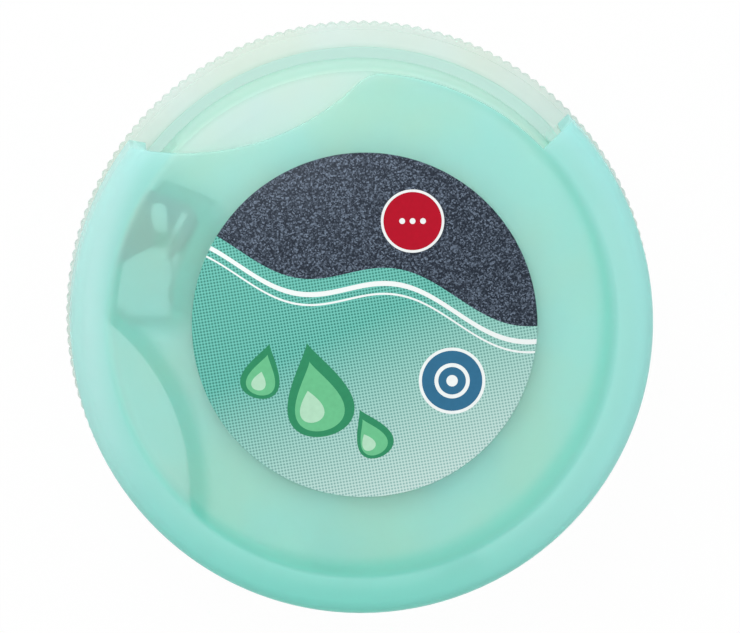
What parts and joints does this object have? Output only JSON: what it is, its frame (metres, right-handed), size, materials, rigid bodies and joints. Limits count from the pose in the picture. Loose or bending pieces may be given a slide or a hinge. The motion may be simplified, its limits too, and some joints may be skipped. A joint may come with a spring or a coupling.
{
  "type": "dental floss dispenser",
  "caption": "Round pocket dental floss dispenser: knurled rear shell, turning front cover with a thumb notch, and an inner lid with a steel cutter over the floss bobbin.",
  "frame": {"origin": "centre of the back face, on the turning axis, at the height of the surface that the dispenser lies on", "axes": "+Z along the turning axis from the back to the labelled face, +Y towards the cover's thumb notch side as in the picture, +X to the right seen from the front"},
  "size_m": [0.0566, 0.0566, 0.0151],
  "materials": {
    "shell_plastic": "frosted translucent polypropylene",
    "lid_plastic": "frosted translucent polypropylene",
    "cover_plastic": "translucent polypropylene with a satin surface",
    "label_film": "printed film label",
    "bobbin_plastic": "moulded white",
    "floss": "waxed filament",
    "cutter_steel": "stamped stainless sheet"
  },
  "bodies": {
    "case": {"rear_shell": "shell_plastic", "inner_lid": "lid_plastic", "floss_lead": "floss", "cutter": "cutter_steel"},
    "cover": {"front_cover": "cover_plastic", "front_label": "label_film"},
    "spool": {"bobbin": "bobbin_plastic", "floss_winding": "floss"}
  },
  "joints": [
    {"name": "cover_turn", "type": "hinge", "parent": "case", "child": "cover", "pos_m": [0, 0, 0.0136], "axis": [0, 0, 1], "range_deg": [0, 90]},
    {"name": "spool_spin", "type": "hinge", "parent": "case", "child": "spool", "pos_m": [0, 0, 0.00225], "axis": [0, 0, 1], "continuous": true}
  ]
}
